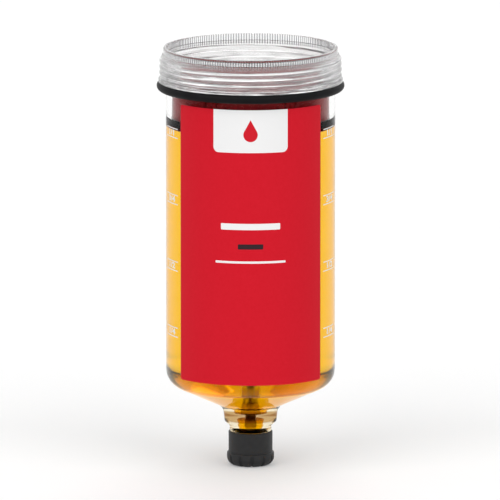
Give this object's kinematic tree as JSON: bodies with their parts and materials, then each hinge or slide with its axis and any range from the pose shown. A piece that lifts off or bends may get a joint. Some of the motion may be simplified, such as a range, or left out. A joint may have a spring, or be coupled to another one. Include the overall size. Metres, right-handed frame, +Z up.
{
  "type": "automatic lubricator cartridge",
  "caption": "Transparent oil cartridge for an automatic lubricator, with piston, spring-loaded outlet valve, threaded mouth and screw cap.",
  "frame": {"origin": "centre of the outlet cap's flat bottom, which is the lowest point of the cartridge", "axes": "+Z up along the cartridge's axis, from the outlet to the open mouth; the label faces -Y, +X is to its right"},
  "size_m": [0.068, 0.068, 0.1537],
  "materials": {
    "clear_plastic": "clear moulded plastic, polished",
    "black_rubber": "smooth moulded rubber",
    "label_film": "printed satin film",
    "red_plastic": "moulded, satin",
    "valve_brass": "turned",
    "spring_steel": "drawn wire",
    "golden_oil": "clear liquid",
    "black_plastic": "moulded, matte"
  },
  "bodies": {
    "cartridge": {"cartridge_shell": "clear_plastic", "collar_o_ring": "black_rubber", "front_label": "label_film", "oil_fill": "golden_oil", "outlet_oil": "golden_oil", "valve_body": "valve_brass"},
    "piston": {"piston_body": "red_plastic", "piston_seal": "black_rubber"},
    "poppet": {"valve_poppet": "valve_brass", "valve_retainer": "valve_brass", "valve_spring": "spring_steel"},
    "cap_seal": {"outlet_cap_seal": "black_rubber"},
    "cap": {"outlet_cap": "black_plastic"}
  },
  "joints": [
    {"name": "piston_travel", "type": "slide", "parent": "cartridge", "child": "piston", "axis": [0, 0, -1], "range_m": [0, 0.081], "deforming": ["oil_fill"]},
    {"name": "poppet_stroke", "type": "slide", "parent": "cartridge", "child": "poppet", "axis": [0, 0, -1], "range_m": [0, 0.001], "stiffness_N_per_m": 350, "springref_m": -0.0015, "deforming": ["valve_spring"]},
    {"name": "cap_lift", "type": "slide", "parent": "cartridge", "child": "cap_seal", "axis": [0, 0, -1], "range_m": [0, 0.00936]},
    {"name": "cap_turn", "type": "hinge", "parent": "cap_seal", "child": "cap", "pos_m": [0, 0, 0.00625], "axis": [0, 0, -1], "range_deg": [0, 2520]}
  ],
  "couplings": [
    {"joint": "cap_turn", "follows": "cap_lift", "rad_per_m": 4699.5}
  ]
}
